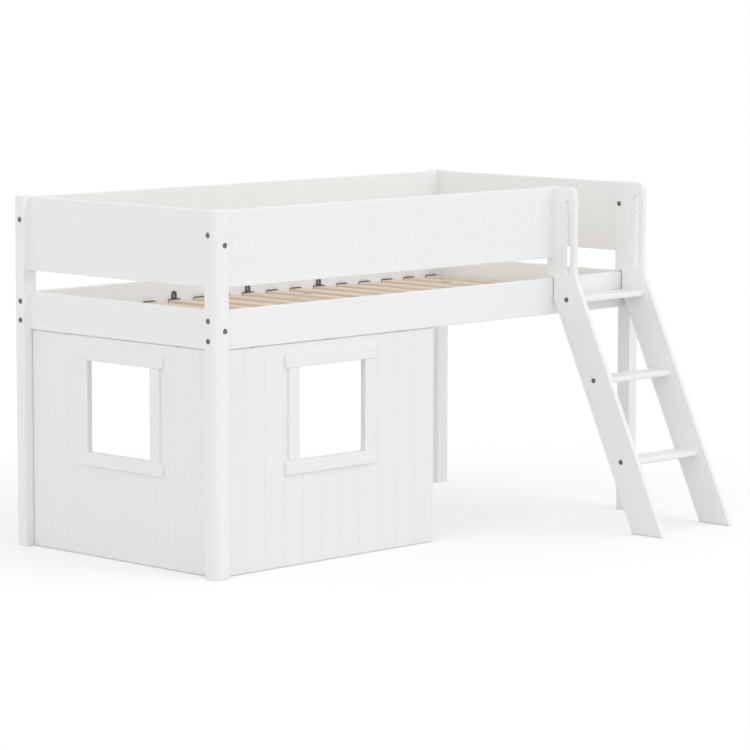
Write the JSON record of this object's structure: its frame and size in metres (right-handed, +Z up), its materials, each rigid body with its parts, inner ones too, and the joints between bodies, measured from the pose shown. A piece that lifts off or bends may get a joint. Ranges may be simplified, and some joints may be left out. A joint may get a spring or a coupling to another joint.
{
  "type": "cabin bed",
  "caption": "Mid-height cabin bed with guard boards, slatted deck, slanted hook-on ladder and boarded play panels with framed windows.",
  "frame": {"origin": "centre of the footprint, ladder feet included, on the floor", "axes": "+X along the bed towards the ladder end, +Y from the ladder side to the back, +Z up"},
  "size_m": [2.112, 1.5004, 1.2],
  "materials": {
    "white_paint": "satin white paint",
    "pine": "planed, unfinished",
    "black_plastic": "moulded, fine grain",
    "dark_steel": "dark zinc plated",
    "zinc_steel": "zinc plated"
  },
  "bodies": {
    "root": {"post_front_left": "white_paint", "post_back_left": "white_paint", "post_back_right": "white_paint", "post_front_right": "white_paint", "leg_front_left": "white_paint", "leg_back_left": "white_paint", "leg_back_right": "white_paint", "leg_front_right": "white_paint", "front_guard": "white_paint", "back_guard": "white_paint", "left_end_guard": "white_paint", "right_end_guard": "white_paint", "front_rail": "white_paint", "back_rail": "white_paint", "left_end_rail": "white_paint", "right_end_rail": "white_paint", "front_slat_batten": "white_paint", "back_slat_batten": "white_paint", "end_play_panel": "white_paint", "front_play_panel": "white_paint", "end_window_header": "white_paint", "end_window_sill": "white_paint", "end_window_left_frame": "white_paint", "end_window_right_frame": "white_paint", "front_window_header": "white_paint", "front_window_sill": "white_paint", "front_window_left_frame": "white_paint", "front_window_right_frame": "white_paint", "ladder_left_side": "white_paint", "ladder_right_side": "white_paint", "rung_top": "white_paint", "rung_middle": "white_paint", "rung_bottom": "white_paint", "leg_dowels": "pine", "slat_01": "pine", "slat_02": "pine", "slat_03": "pine", "slat_04": "pine", "slat_05": "pine", "slat_06": "pine", "slat_07": "pine", "slat_08": "pine", "slat_09": "pine", "slat_10": "pine", "slat_11": "pine", "slat_12": "pine", "slat_13": "pine", "slat_14": "pine", "slat_15": "pine", "slat_16": "pine", "slat_17": "pine", "slat_holders": "black_plastic", "tab_holders": "black_plastic", "post_bolts": "dark_steel", "ladder_bolts": "dark_steel", "leg_studs": "zinc_steel", "insert_nuts": "zinc_steel", "batten_screws": "zinc_steel", "panel_brackets": "zinc_steel", "bracket_screws": "zinc_steel"}
  },
  "joints": []
}
